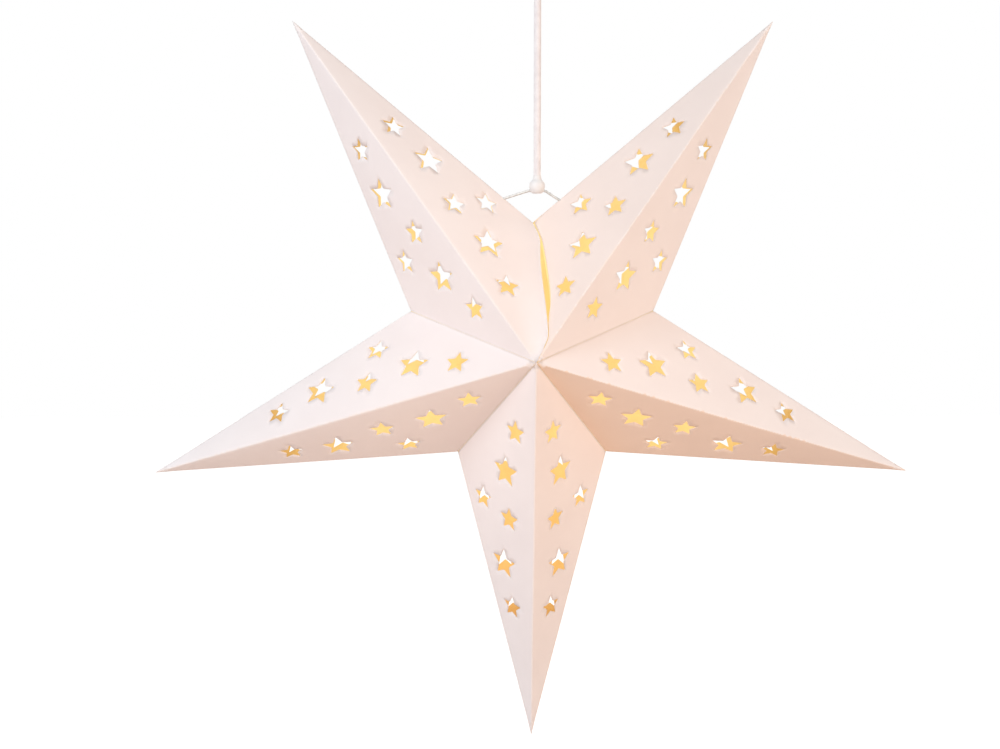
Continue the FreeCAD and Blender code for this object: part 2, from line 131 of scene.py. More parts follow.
def along_line(line, step):
    """Places a step apart along a line, and at each the two unit vectors across it, carried on
    from place to place with no twist."""
    reach = np.r_[0, np.cumsum(np.linalg.norm(np.diff(line, axis=0), axis=1))]
    stops = np.linspace(0, reach[-1], max(2, int(round(reach[-1] / step)) + 1))
    places = np.stack([np.interp(stops, reach, line[:, k]) for k in range(3)], axis=1)
    heading = np.gradient(places, axis=0)
    heading /= np.linalg.norm(heading, axis=1)[:, None]
    side = np.cross(heading[0], (0.3, 0.9, 0.1))
    sides = []
    for direction in heading:
        side = side - direction * (side @ direction)
        side = side / np.linalg.norm(side)
        sides.append(side)
    sides = np.array(sides)
    return stops, places, sides, np.cross(heading, sides)


def tube(line, radius, around, step):
    """A closed tube along a line. Its radius is a number, or a function of the distance along
    the line and the angle round it."""
    stops, places, left, up = along_line(line, step)
    turn = np.linspace(0, 2 * math.pi, around, endpoint=False)
    far, angle = np.meshgrid(stops, turn, indexing="ij")
    reach = radius(far, angle) if callable(radius) else np.full(far.shape, radius)
    points = (places[:, None] + reach[..., None] * (np.cos(angle)[..., None] * left[:, None]
                                                    + np.sin(angle)[..., None] * up[:, None]))
    return points.reshape(-1, 3), grid_faces(len(stops), around)


def braid(far, angle):
    """Two families of strands wind round the cord both ways. Each strand is a low round hump,
    which rises and dips as a cosine where it crosses the others, over and under by turns, and
    the higher of the two families shows."""
    lean = far / (2 * math.pi * CORD_RADIUS / BRAID_STRANDS)
    one = BRAID_STRANDS * angle / (2 * math.pi) + lean
    other = BRAID_STRANDS * angle / (2 * math.pi) - lean
    parity_one = np.cos(math.pi * np.round(one))
    parity_other = np.cos(math.pi * np.round(other))
    hump_one = np.sqrt(np.clip(1 - (2 * (one - np.round(one))) ** 2, 0, 1))
    hump_other = np.sqrt(np.clip(1 - (2 * (other - np.round(other))) ** 2, 0, 1))
    high_one = hump_one + 0.5 * parity_one * np.cos(math.pi * other)
    high_other = hump_other - 0.5 * parity_other * np.cos(math.pi * one)
    return CORD_RADIUS - 1.5 * BRAID_RELIEF + BRAID_RELIEF * np.maximum(high_one, high_other)


def new_material(name, roughness, metallic=0.0):
    """A material with its shader, and two short ways to add a node and to join sockets."""
    material = bpy.data.materials.new(name)
    material.use_nodes = True
    tree = material.node_tree
    shader = tree.nodes["Principled BSDF"]
    shader.inputs["Roughness"].default_value = roughness
    shader.inputs["Metallic"].default_value = metallic

    def add(kind, settings=None, **inputs):
        """A shader node of this kind, with its settings and the values of its inputs."""
        node = tree.nodes.new("ShaderNode" + kind)
        for key, value in (settings or {}).items():
            setattr(node, key, value)
        for key, value in inputs.items():
            node.inputs[key.replace("_", " ")].default_value = value
        return node

    return material, shader, add, tree.links.new


def ramp(add, link, source, stops):
    """A colour ramp of (place, colour) stops, driven by a socket."""
    node = add("ValToRGB")
    elements = node.color_ramp.elements
    while len(elements) < len(stops):
        elements.new(0.5)
    for element, (place, colour) in zip(elements, stops):
        element.position = place
        element.color = (*colour, 1)
    link(source, node.inputs["Fac"])
    return node.outputs["Color"]


def bump(add, link, shader, height, distance, strength):
    """Raises the surface by a height pattern."""
    node = add("Bump", Strength=strength, Distance=distance)
    link(height, node.inputs["Height"])
    link(node.outputs["Normal"], shader.inputs["Normal"])


def braid_material():
    """Matt polyester yarn: pale, a little warmer and darker in blotches, with fine fibres."""
    material, shader, add, link = new_material("cord_braid", 0.78)
    shader.inputs["Sheen Weight"].default_value = 0.25
    shader.inputs["Sheen Roughness"].default_value = 0.4
    place = add("TexCoord")
    blotch = add("TexNoise", Scale=160.0, Detail=4.0, Roughness=0.6)
    link(place.outputs["Object"], blotch.inputs["Vector"])
    colour = ramp(add, link, blotch.outputs["Fac"], [(0.3, (0.82, 0.76, 0.76)), (0.7, (0.92, 0.87, 0.87))])
    link(colour, shader.inputs["Base Color"])
    stretch = add("Mapping", Scale=(1.0, 1.0, 0.35))
    fibre = add("TexNoise", Scale=4200.0, Detail=3.0, Roughness=0.7)
    link(place.outputs["Object"], stretch.inputs["Vector"])
    link(stretch.outputs["Vector"], fibre.inputs["Vector"])
    bump(add, link, shader, fibre.outputs["Fac"], 0.00006, 0.5)
    return material


cord_line = route_line("cord_route", CORD_ROUTE)
cord = new_piece("hanging_cord", *tube(cord_line, braid, 6 * BRAID_STRANDS, BRAID_STEP))
cord.data.materials.append(braid_material())
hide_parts("cord")
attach(cord, "hanging_cord")

# ================================================================ the eye and the bead
# Both are moulded on to the cord's ends in white plastic. The eye hangs on the ceiling hook, and
# the bead has a cross hole in which the bail turns.

EYE_MIDDLE = 0.007
EYE_THICK = 0.002
EYE_HALF_WIDE = 0.0035
RING_STEPS = 72
SECTION_STEPS = 28
BEAD_TOP = -0.156
BEAD_PROFILE = [(0.0029, 0.0035), (0.0034, 0.0006), (0.0042, -0.0007), (0.0055, -0.0021),
                (0.0061, -0.0040), (0.0061, -0.0064), (0.0055, -0.0084), (0.0044, -0.0101),
                (0.0030, -0.0109), (0.0, -0.0110)]
BEAD_HOLE = 0.00125
DRILL_REACH = 0.01
BAIL_LEVEL = -0.1647


def smooth_profile(corners, count):
    """A smooth line through (radius, height) corners, by Catmull-Rom between neighbours."""
    c = np.array([corners[0], *corners, corners[-1]], float)
    place = np.linspace(0, len(corners) - 1 - 1e-9, count)
    first = place.astype(int)
    t = (place - first)[:, None]
    a, b, d, e = (c[first + k] for k in range(4))
    return 0.5 * (2 * b + (d - a) * t + (2 * a - 5 * b + 4 * d - e) * t ** 2
                  + (3 * b - a - 3 * d + e) * t ** 3)


def turned(profile, around):
    """A (radius, height) profile turned about the Z axis, its ends closed by their last ring."""
    turn = np.linspace(0, 2 * math.pi, around, endpoint=False)
    radius = np.maximum(profile[:, 0], 0.00004)
    points = np.stack([radius[:, None] * np.cos(turn), radius[:, None] * np.sin(turn),
                       np.repeat(profile[:, 1:2], around, axis=1)], axis=-1)
    return points.reshape(-1, 3), grid_faces(len(profile), around)


def outward(piece):
    """Merges the doubles of a closed piece and turns its faces outwards."""
    mesh = bmesh.new()
    mesh.from_mesh(piece.data)
    bmesh.ops.remove_doubles(mesh, verts=mesh.verts, dist=1e-6)
    bmesh.ops.recalc_face_normals(mesh, faces=mesh.faces)
    mesh.to_mesh(piece.data)
    mesh.free()


def applied(piece):
    """Leaves the piece with the mesh that its modifiers give."""
    made = bpy.data.meshes.new_from_object(piece.evaluated_get(bpy.context.evaluated_depsgraph_get()))
    piece.modifiers.clear()
    piece.data = made
    made.polygons.foreach_set("use_smooth", np.ones(len(made.polygons), bool))


def moulded_material(name, low, high, roughness):
    """Moulded plastic: close to one colour, with a faint cloud in it and a fine sparked texture."""
    material, shader, add, link = new_material(name, roughness)
    place = add("TexCoord")
    cloud = add("TexNoise", Scale=90.0, Detail=3.0, Roughness=0.5)
    link(place.outputs["Object"], cloud.inputs["Vector"])
    link(ramp(add, link, cloud.outputs["Fac"], [(0.3, low), (0.7, high)]), shader.inputs["Base Color"])
    grain = add("TexNoise", Scale=2600.0, Detail=2.0, Roughness=0.5)
    link(place.outputs["Object"], grain.inputs["Vector"])
    bump(add, link, shader, grain.outputs["Fac"], 0.00003, 0.35)
    uneven = add("MapRange", From_Min=0.3, From_Max=0.7, To_Min=roughness - 0.06, To_Max=roughness + 0.08)
    link(cloud.outputs["Fac"], uneven.inputs["Value"])
    link(uneven.outputs["Result"], shader.inputs["Roughness"])
    return material


def eye_ring():
    """A rounded rectangle, a superellipse of the fourth power, carried round the Y axis."""
    turn = np.linspace(0, 2 * math.pi, RING_STEPS, endpoint=False)
    about = np.linspace(0, 2 * math.pi, SECTION_STEPS, endpoint=False)
    section_out = np.sign(np.cos(about)) * np.abs(np.cos(about)) ** 0.5 * EYE_THICK
    section_wide = np.sign(np.sin(about)) * np.abs(np.sin(about)) ** 0.5 * EYE_HALF_WIDE
    reach = EYE_MIDDLE + section_out
    points = np.stack([np.cos(turn)[:, None] * reach,
                       np.repeat(section_wide[None], RING_STEPS, axis=0),
                       np.sin(turn)[:, None] * reach], axis=-1).reshape(-1, 3)
    faces = grid_faces(RING_STEPS, SECTION_STEPS, caps=False)
    last = (RING_STEPS - 1) * SECTION_STEPS
    for k in range(SECTION_STEPS):
        after = (k + 1) % SECTION_STEPS
        faces.append((last + k, last + after, after, k))
    return points, faces


white_moulding = moulded_material("white_moulding", (0.80, 0.765, 0.755), (0.88, 0.85, 0.84), 0.42)

neck = smooth_profile([(0.0, -0.0062), (0.0030, -0.0066), (0.0034, -0.0085), (0.0034, -0.0110),
                       (0.0033, -0.0135), (0.0031, -0.0156), (0.0029, -0.0160), (0.0, -0.0161)], 40)
ring_points, ring_faces = eye_ring()
neck_points, neck_faces = turned(neck, 40)
eye = new_piece("cord_end_eye", np.r_[ring_points, neck_points],
                ring_faces + [tuple(i + len(ring_points) for i in f) for f in neck_faces])
outward(eye)
remesh = eye.modifiers.new("moulded_as_one", "REMESH")
remesh.mode = "VOXEL"
remesh.voxel_size = 0.00028
fair = eye.modifiers.new("fillets", "SMOOTH")
fair.factor, fair.iterations = 0.5, 10
applied(eye)
eye.data.materials.append(white_moulding)
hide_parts("cord_eye")
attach(eye, "hanging_cord")

bead_line = smooth_profile(BEAD_PROFILE, 60) + (0, BEAD_TOP)
bead = new_piece("cord_end_bead", *turned(bead_line, 72))
outward(bead)
drill_line = np.array([(-DRILL_REACH, 0, BAIL_LEVEL), (DRILL_REACH, 0, BAIL_LEVEL)])
drill = new_piece("drill", *tube(drill_line, BEAD_HOLE, 32, 2 * DRILL_REACH))
outward(drill)
bored = bead.modifiers.new("cross_hole", "BOOLEAN")
bored.operation, bored.solver, bored.object = "DIFFERENCE", "EXACT", drill
applied(bead)
bpy.data.objects.remove(drill)
bead.data.materials.append(white_moulding)
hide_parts("cord_bead")
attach(bead, "bead")

# ================================================================ the wire bail
# A drawn, zinc-coated steel wire, bent by hand: it runs through the bead, and each end is hooked
# through a hole in a crease beside the star's top notch.

WIRE_RADIUS = 0.0011
WIRE_BEND = 0.004
SHOULDERS = (-0.0068, 0.0064)
LEFT_HOOK = (0.0395, 0.0310)
RIGHT_HOOK = (0.0280, 0.0365)
UNDER_CREASE = 0.0036
NOTCH = (-0.0035, -0.189)
TIP_AWAY = 0.3165
NOTCH_AWAY = 0.101
CREASE_RISE = math.atan2(TIP_AWAY * math.sin(math.radians(36)),
                         TIP_AWAY * math.cos(math.radians(36)) - NOTCH_AWAY)


def by_crease(side, up, under):
    """A place beside the notch: so far up a crease from the inner corner, and so far under it."""
    return (NOTCH[0] + side * (up * math.sin(CREASE_RISE) + under * math.cos(CREASE_RISE)), 0.0,
            NOTCH[1] + up * math.cos(CREASE_RISE) - under * math.sin(CREASE_RISE))


def bent(corners, bend, count=9):
    """Straight runs through the corners, with each corner replaced by a tangent arc of the bend
    radius: its centre lies on the bisector, at bend over the sine of half the angle."""
    corners = np.array(corners, float)
    line = [corners[0]]
    for before, corner, after in zip(corners, corners[1:], corners[2:]):
        back = (before - corner) / np.linalg.norm(before - corner)
        on = (after - corner) / np.linalg.norm(after - corner)
        half = math.acos(np.clip(back @ on, -1, 1)) / 2
        middle = corner + (back + on) / np.linalg.norm(back + on) * bend / math.sin(half)
        first = corner + back * bend / math.tan(half)
        last = corner + on * bend / math.tan(half)
        for share in np.linspace(0, 1, count):
            arm = (first - middle) * (1 - share) + (last - middle) * share
            line.append(middle + arm / np.linalg.norm(arm) * bend)
    line.append(corners[-1])
    return np.array(line)


def drawn_wire_material(name, low, high, roughness):
    """Drawn metal: fine lines, small dull patches of oxide, and a roughness that follows them."""
    material, shader, add, link = new_material(name, roughness, 1.0)
    place = add("TexCoord")
    patch = add("TexNoise", Scale=420.0, Detail=5.0, Roughness=0.65)
    link(place.outputs["Object"], patch.inputs["Vector"])
    link(ramp(add, link, patch.outputs["Fac"], [(0.35, low), (0.65, high)]), shader.inputs["Base Color"])
    dull = add("MapRange", From_Min=0.35, From_Max=0.7, To_Min=roughness + 0.12, To_Max=roughness - 0.05)
    link(patch.outputs["Fac"], dull.inputs["Value"])
    link(dull.outputs["Result"], shader.inputs["Roughness"])
    stretch = add("Mapping", Scale=(0.15, 1.0, 1.0))
    lines = add("TexNoise", Scale=6000.0, Detail=2.0, Roughness=0.5)
    link(place.outputs["Object"], stretch.inputs["Vector"])
    link(stretch.outputs["Vector"], lines.inputs["Vector"])
    bump(add, link, shader, lines.outputs["Fac"], 0.00002, 0.4)
    return material


bail_corners = [by_crease(-1, up, UNDER_CREASE) for up in LEFT_HOOK]
bail_corners += [(shoulder, 0, BAIL_LEVEL) for shoulder in SHOULDERS]
bail_corners += [by_crease(1, up, UNDER_CREASE) for up in RIGHT_HOOK]
bail_line = bent(bail_corners, WIRE_BEND)
bail = new_piece("wire_bail", *tube(bail_line, WIRE_RADIUS, 24, 0.0005))
bail.data.materials.append(drawn_wire_material("bail_wire", (0.52, 0.50, 0.48), (0.74, 0.72, 0.69), 0.34))
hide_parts("bail")
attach(bail, "bail_wire")

# ================================================================ the star's five folded sheets
# Each point of the star is one die-cut sheet of white card: four long facets round a point,
# creased on the front ridge, the back ridge and both sides, with a glue flange folded inwards
# along each valley, where it meets the next sheet. The top valley is left open.

CENTRE = np.array([-0.0035, 0, -0.290])
TIP = 316.5
HALF_DEPTH = 88.0
CORNER = 101.0
SECTOR = math.radians(36)
TIP_CUT = 1.2
CARD = 0.45
FLANGE = 8.0
SEAM = 0.04
SPIKES = {"star_small": 9.8, "star_large": 13.0}
WAIST = 0.46
CUT_OUTS = [(0.192, 20.9, "star_small"), (0.302, 30.7, "star_large"), (0.397, 55.9, "star_small"),
            (0.423, 25.9, "star_small"), (0.548, 31.5, "star_large"), (0.659, 22.2, "star_small")]
CREASE_ROWS = [0.35, 0.8, 1.6, 3.0]
FOLD_RADIUS = 0.45
MESH_STEP = 5.0
RIDGE_STEPS = 130
SIDE_STEPS = 96
VALLEY_STEPS = 54
HAIR = 0.04
PAST_ROWS = 1.5
NEAR_ROWS = 0.8
ROUND_HOLES = 1.6
TIP_FADE = 14
SIDE_CRIMP = 0.66
VALLEY_CRIMP = 0.8
VALLEY_RADIUS = 0.3
BUBBLE_SCALE = 30000.0
WAVE_HEIGHT = 0.22
FLANGE_EASE = 0.6

RIDGE = math.hypot(TIP, HALF_DEPTH)
VALLEY = math.hypot(CORNER, HALF_DEPTH)
SLOPE = math.atan2(HALF_DEPTH, TIP)
REACH = CORNER * math.sin(SECTOR) * TIP / (TIP - CORNER * math.cos(SECTOR))
FROM_CENTRE = 1 / math.sqrt(TIP ** -2 + HALF_DEPTH ** -2 + REACH ** -2)
OPENING = math.acos(FROM_CENTRE / REACH)
SIDE_CREASE = math.hypot(TIP - CORNER * math.cos(SECTOR), CORNER * math.sin(SECTOR))
CORNER_ALONG = (RIDGE ** 2 + VALLEY ** 2 - SIDE_CREASE ** 2) / (2 * RIDGE)
CORNER_OUT = math.sqrt(VALLEY ** 2 - CORNER_ALONG ** 2)


def punched_star(along, out, reach):
    """A five-spiked outline with one spike towards the front apex. Its ten corners alternate
    between the reach and the waist, and each is rounded by a short Bezier arc."""
    turn = math.pi + np.arange(10) * math.pi / 5
    radius = np.where(np.arange(10) % 2 == 0, reach, reach * WAIST)
    corners = np.c_[along + radius * np.cos(turn), out + radius * np.sin(turn)]
    before, after = np.roll(corners, 1, axis=0), np.roll(corners, -1, axis=0)
    start = corners + 0.09 * (before - corners)
    end = corners + 0.09 * (after - corners)
    arc = [(1 - t) ** 2 * start + 2 * t * (1 - t) * corners + t * t * end for t in (0, 0.5, 1)]
    middle = (end + np.roll(start, -1, axis=0)) / 2
    return np.stack([*arc, middle], axis=1).reshape(-1, 2)


def inside(points, loop):
    """Which points lie inside a closed outline, by counting the crossings of a ray to the right."""
    ahead = np.roll(loop, -1, axis=0)
    x, y = points[:, None, 0], points[:, None, 1]
    spans = (loop[:, 1] > y) != (ahead[:, 1] > y)
    rise = np.where(ahead[:, 1] == loop[:, 1], 1e-9, ahead[:, 1] - loop[:, 1])
    cross = (ahead[:, 0] - loop[:, 0]) * (y - loop[:, 1]) / rise + loop[:, 0]
    return (np.sum(spans & (x < cross), axis=1) % 2) == 1


def to_line(points, start, end):
    """The distance of points from the straight line through start and end."""
    on = (end - start) / np.linalg.norm(end - start)
    return np.abs((points[:, 0] - start[0]) * on[1] - (points[:, 1] - start[1]) * on[0])


def facet_blank():
    """One facet lying flat, with the front apex at (0, 0) and the ridge along the first axis: a
    triangle with its tip cut short and six stars punched out, filled with triangles whose
    corners lie on a hexagonal grid and in rows beside each crease. Its two other long sides bow
    out by a hair, so that no triangle is drawn along them."""
    apex, corner = np.zeros(2), np.array([CORNER_ALONG, CORNER_OUT])
    tip = np.array([RIDGE, 0.0])
    share = 1 - TIP_CUT / TIP
    on_ridge = tip * share
    on_side = corner + (tip - corner) * (1 - TIP_CUT / (TIP - CORNER * math.cos(SECTOR)))
    sides = [(apex, on_ridge, RIDGE_STEPS), (on_ridge, on_side, 1), (on_side, corner, SIDE_STEPS),
             (corner, apex, VALLEY_STEPS)]
    rim = []
    for number, (a, b, n) in enumerate(sides):
        share = (np.arange(n) / n)[:, None]
        outwards = np.array([(b - a)[1], (a - b)[0]]) / np.linalg.norm(b - a)
        hair = 0.0 if number < 2 else HAIR
        rim.append(a + (b - a) * share + outwards * hair * 4 * share * (1 - share))
    rim = np.concatenate(rim)
    loops = [rim] + [punched_star(s * RIDGE, out, SPIKES[word]) for s, out, word in CUT_OUTS]

    columns = np.arange(-5, RIDGE + 5, MESH_STEP)
    rows = np.arange(-5, CORNER_OUT + 5, MESH_STEP * math.sqrt(0.75))
    fill = np.array([(x + (k % 2) * MESH_STEP / 2, y) for k, y in enumerate(rows) for x in columns])
    beside = []
    for a, b, n in (sides[0], sides[2], sides[3]):
        on = (b - a) / np.linalg.norm(b - a)
        row = a + (b - a) * ((np.arange(n) + 0.5) / n)[:, None]
        for away in CREASE_ROWS:
            beside.append(row + away * np.array([-on[1], on[0]]))
    beside = np.concatenate(beside)
    creases = [(apex, tip), (tip, corner), (corner, apex)]
    fill = fill[np.min([to_line(fill, *c) for c in creases], axis=0) > CREASE_ROWS[-1] + PAST_ROWS]
    close = [to_line(beside, *c) < CREASE_ROWS[-1] + NEAR_ROWS for c in creases]
    kept = beside[np.sum(close, axis=0) < 2]
    fill = np.concatenate([fill, kept])
    fill = fill[inside(fill, rim)]
    for loop in loops[1:]:
        near = np.min(np.linalg.norm(fill[:, None] - loop, axis=2), axis=1) < ROUND_HOLES
        fill = fill[~(inside(fill, loop) | near)]

    points = np.concatenate(loops + [fill])
    edges = []
    first = 0
    for loop in loops:
        n = len(loop)
        edges += [(first + k, first + (k + 1) % n) for k in range(n)]
        first += n
    points, _, faces, *_ = delaunay_2d_cdt([Vector(p) for p in points], edges, [], 0, 1e-5)
    points = np.array([tuple(p) for p in points])
    faces = np.array(faces)
    middles = points[faces].mean(axis=1)
    keep = inside(middles, rim)
    for loop in loops[1:]:
        keep &= ~inside(middles, loop)
    return points, faces[keep]


def crimp(away, radius):
    """How far a crease of that radius pulls the card back from the sharp fold."""
    return np.sqrt(away ** 2 + radius ** 2) - away


def folded_facet(blank, depth_sign, side_sign, bow, rng):
    """The flat facet folded to its place: a plane through the ridge, which leans by the slope and
    opens by the opening. Near a crease the card is pulled towards the fold's inner side, and
    between the creases it bows by a bubble, the product of its three distances, and by a few
    slow waves."""
    s, d = blank[:, 0], blank[:, 1]
    along = np.array([math.cos(SLOPE), math.sin(SLOPE), 0])
    out = np.array([-math.sin(SLOPE) * math.cos(OPENING), math.cos(SLOPE) * math.cos(OPENING),
                    math.sin(OPENING)])
    normal = np.cross(along, out)
    points = np.array([0, -HALF_DEPTH, 0]) + s[:, None] * along + d[:, None] * out

    apex, corner, tip = np.zeros(2), np.array([CORNER_ALONG, CORNER_OUT]), np.array([RIDGE, 0.0])
    from_ridge = np.abs(d)
    from_side = to_line(blank, tip, corner)
    from_valley = to_line(blank, corner, apex)
    narrow = np.clip((RIDGE - s) / TIP_FADE, 0, 1)
    ridge_in = np.array([-math.sin(SLOPE), math.cos(SLOPE), 0])
    lean = math.atan2(CORNER * math.sin(SECTOR), TIP - CORNER * math.cos(SECTOR))
    side_in = np.array([-math.sin(lean), 0, -math.cos(lean)])
    valley_in = -normal
    points += (crimp(from_ridge, FOLD_RADIUS) * narrow * math.cos(OPENING))[:, None] * ridge_in
    points += (crimp(from_side, FOLD_RADIUS) * narrow * SIDE_CRIMP)[:, None] * side_in
    points += (crimp(from_valley, VALLEY_RADIUS) * VALLEY_CRIMP)[:, None] * valley_in

    bubble = from_ridge * from_side * from_valley / BUBBLE_SCALE
    phase = rng.uniform(0, 2 * math.pi, 3)
    waves = (np.sin(s / 31 + phase[0]) * np.sin(d / 17 + phase[1]) + 0.6 * np.sin(s / 53 + phase[2]))
    points += (bow * bubble + WAVE_HEIGHT * waves * np.clip(bubble * 2, 0, 1))[:, None] * normal

    crease = np.minimum(np.minimum(from_ridge, from_side), from_valley)
    points[:, 1] *= -depth_sign
    points[:, 2] *= side_sign
    return points, crease


def valley_flange(facet, depth_sign, side_sign):
    """The flange of one valley: a strip in the plane between two points, from the valley inwards.
    Each row is a step further from the valley, and is cut short at both ends by the mitres. The
    first row is the facet's own edge, and the next rows ease from it to the plane."""
    widths = np.array([0.0, 0.3, 0.7, 1.5, 4.0, FLANGE])
    share = np.linspace(0, 1, VALLEY_STEPS + 1)
    start = widths * HALF_DEPTH / CORNER
    end = VALLEY - widths * CORNER / HALF_DEPTH
    a = start[:, None] + share[None] * (end - start)[:, None]
    w = widths[:, None] + 0 * a
    radial = (a * CORNER - w * HALF_DEPTH) / VALLEY
    depth = -HALF_DEPTH + (a * HALF_DEPTH + w * CORNER) / VALLEY
    x = radial * math.cos(SECTOR)
    z = radial * math.sin(SECTOR)
    rows = np.stack([x, -depth_sign * depth, side_sign * z], axis=-1)
    ease = np.exp(-(widths / FLANGE_EASE) ** 2)[:, None, None]
    rows = rows + ease * (facet[VALLEY_EDGE] - rows[0])[None]
    faces = grid_faces(len(widths), len(share), closed=False)
    return rows.reshape(-1, 3), faces, (a / VALLEY).ravel()


BLANK, BLANK_FACES = facet_blank()
VALLEY_EDGE = [int(np.argmin(np.linalg.norm(BLANK - share * np.array([CORNER_ALONG, CORNER_OUT]), axis=1)))
               for share in np.linspace(0, 1, VALLEY_STEPS + 1)]


# The open seam's two edges, as the photograph shows them: for the sheet on the left and on the
# right, how far the edge lies to the right of the valley at shares of the way from the front apex
# to the notch. The left sheet's edge also lifts forwards, over the other.
SEAM_SHARES = [0, 0.08, 0.18, 0.24, 0.32, 0.42, 0.50, 0.60, 0.71, 0.80, 0.87, 0.93, 1.0]
SEAM_EDGE = {-1: [0, 4.6, 9.0, 9.2, 8.6, 7.8, 6.9, 5.9, 5.1, 5.2, 5.6, 3.6, 0],
             1: [0, 5.0, 10.4, 11.6, 12.1, 12.5, 11.9, 11.0, 9.6, 8.2, 6.8, 4.4, 1.2]}
SEAM_LIFT = {-1: 0.85, 1: 0.45}


def loose_seam(facet, flange, share, flange_share, hold, side):
    """Moves the seam's edge of a sheet sideways by a smoothed table of shares along the valley,
    and forwards by a part of that. The move fades across the facet as the cube of the way from
    the ridge to the valley, so that the ridge and the notch stay where they are."""
    fine = np.linspace(0, 1.3, 260)
    coarse = np.interp(fine, SEAM_SHARES + [1.12], SEAM_EDGE[side] + [0])
    window = np.hanning(15) / np.hanning(15).sum()
    smooth = np.convolve(np.pad(coarse, 7, mode="edge"), window, mode="valid")
    smooth[0] = 0
    right = np.array([-math.sin(SECTOR), 0, side * math.cos(SECTOR)]) * -side
    move = right + np.array([0, -SEAM_LIFT[side], 0])
    facet = facet + (np.interp(share, fine, smooth) * hold ** 3)[:, None] * move
    flange = flange + np.interp(flange_share, fine, smooth)[:, None] * move
    return facet, flange


def placed(points, angle):
    """From a point's own frame in millimetres, turned by its angle, to the frame in metres."""
    c, s = math.cos(angle), math.sin(angle)
    x, y, z = points.T * MM
    return np.stack([x * c - z * s, y, x * s + z * c], axis=1) + CENTRE


def sheet_surface(angle, rng, seam_side, painted_glow_shades):
    """All four facets and four flanges of one point, with each corner's distance from its nearest
    crease, its distance from the star's centre line, and how much painted amber glow and shade
    its base colour gets there: as much as its facet gets, and most along the valley."""
    points, faces, crease, warm = [], [], [], []
    count = 0
    for depth_sign in (-1, 1):
        for side_sign in (-1, 1):
            facet, close = folded_facet(BLANK, depth_sign, side_sign, rng.uniform(-0.5, 0.9), rng)
            flange, strips, flange_share = valley_flange(facet, depth_sign, side_sign)
            turned_over = depth_sign * side_sign > 0
            mirrored = [tuple(f[::-1]) if turned_over else tuple(f) for f in BLANK_FACES]
            strips = [f if turned_over else f[::-1] for f in strips]
            if seam_side == side_sign and depth_sign < 0:
                facet, flange = loose_seam(facet, flange, np.hypot(*BLANK.T) / VALLEY, flange_share,
                                           np.clip(BLANK[:, 1] / np.maximum(BLANK[:, 0], 1e-6)
                                                   * CORNER_ALONG / CORNER_OUT, 0, 1), side_sign)
            joined = np.r_[facet, flange]
            points.append(joined)
            crease.append(np.r_[close, np.full(len(flange), 2.0)])
            from_valley = to_line(BLANK, np.array([CORNER_ALONG, CORNER_OUT]), np.zeros(2))
            # Painted glow and shade: the facet's amber tint stands in for the lamps' light through the card
            # and the shade in the valley, so it is strongest along the valley.
            facet_painted_glow_shade = painted_glow_shades[0 if side_sign < 0 else 1]
            warm.append(np.r_[facet_painted_glow_shade * (0.75 + 0.25 * np.exp(-from_valley / 16)),
                              np.full(len(flange), facet_painted_glow_shade)])
            faces += [tuple(i + count for i in f) for f in mirrored]
            faces += [tuple(i + count + len(facet) for i in f) for f in strips]
            count += len(joined)
    points = np.concatenate(points)
    limit = points[:, 0] * math.tan(SECTOR) - SEAM / math.cos(SECTOR)
    beyond = np.abs(points[:, 2]) > np.maximum(limit, 0)
    if not seam_side:
        points[:, 2] = np.where(beyond, np.sign(points[:, 2]) * np.maximum(limit, 0), points[:, 2])
    return (placed(points, angle), faces,
            {"crease": np.concatenate(crease), "far": np.hypot(points[:, 0], points[:, 2]) / TIP,
             "warm": np.concatenate(warm)})


